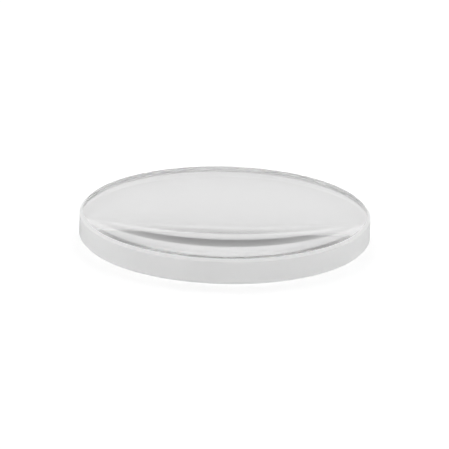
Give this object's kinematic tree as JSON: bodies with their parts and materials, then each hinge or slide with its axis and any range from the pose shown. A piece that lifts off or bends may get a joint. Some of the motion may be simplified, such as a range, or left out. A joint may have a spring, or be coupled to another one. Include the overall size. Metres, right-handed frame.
{
  "type": "biconvex lens",
  "caption": "Round biconvex glass lens with polished convex faces, a finely ground cylindrical rim and narrow protective bevels. It brings parallel light to a focus.",
  "frame": {"origin": "middle of the lens, on the optical axis, halfway between the two faces", "axes": "+Z along the optical axis; the lens is the same all round it, and its two faces are alike"},
  "size_m": [0.0254, 0.0254, 0.0032],
  "materials": {
    "glass": "polished and coated faces, finely ground rim and bevels"
  },
  "bodies": {
    "root": {"lens": "glass"}
  },
  "joints": []
}
